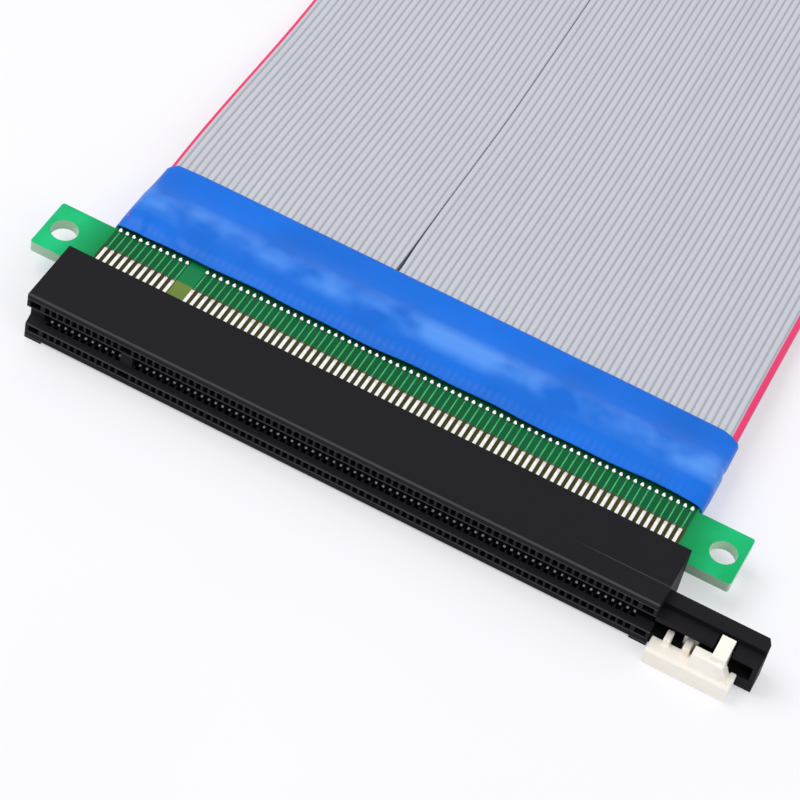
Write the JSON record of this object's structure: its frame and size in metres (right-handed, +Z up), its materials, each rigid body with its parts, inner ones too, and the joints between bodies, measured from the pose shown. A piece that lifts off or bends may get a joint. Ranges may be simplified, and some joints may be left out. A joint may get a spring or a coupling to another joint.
{
  "type": "gpu riser cable",
  "caption": "Flat ribbon riser lead for a graphics card, with a card-edge slot and sliding latch at one end and a card-edge plug at the other.",
  "frame": {"origin": "middle of the socket end's underside, on the surface that it rests on", "axes": "+X along the slot towards the latch, -Y out of the slot's mouth, +Y along the ribbons, +Z up, square to the boards"},
  "size_m": [0.111, 0.3445, 0.0081],
  "materials": {
    "housing_plastic": "matte black moulded plastic with tinned contacts",
    "circuit_board": "green solder mask",
    "latch_plastic": "ivory moulded plastic",
    "blue_film": "glossy blue film",
    "ribbon_vinyl": "grey ribbed vinyl with pink edge stripes",
    "tinned_metal": "tinned contacts and solder",
    "gold_plate": "gold-plated fingers"
  },
  "bodies": {
    "riser": {"socket_housing": "housing_plastic", "socket_board": "circuit_board", "socket_sleeve": "blue_film", "ribbon_upper_left": "ribbon_vinyl", "ribbon_upper_right": "ribbon_vinyl", "ribbon_lower_left": "ribbon_vinyl", "ribbon_lower_right": "ribbon_vinyl", "plug_board": "circuit_board", "plug_sleeve": "blue_film"},
    "latch": {"latch": "latch_plastic"}
  },
  "joints": [
    {"name": "latch_slide", "type": "slide", "parent": "riser", "child": "latch", "axis": [0, 0, -1], "range_m": [0, 0.0026]}
  ]
}
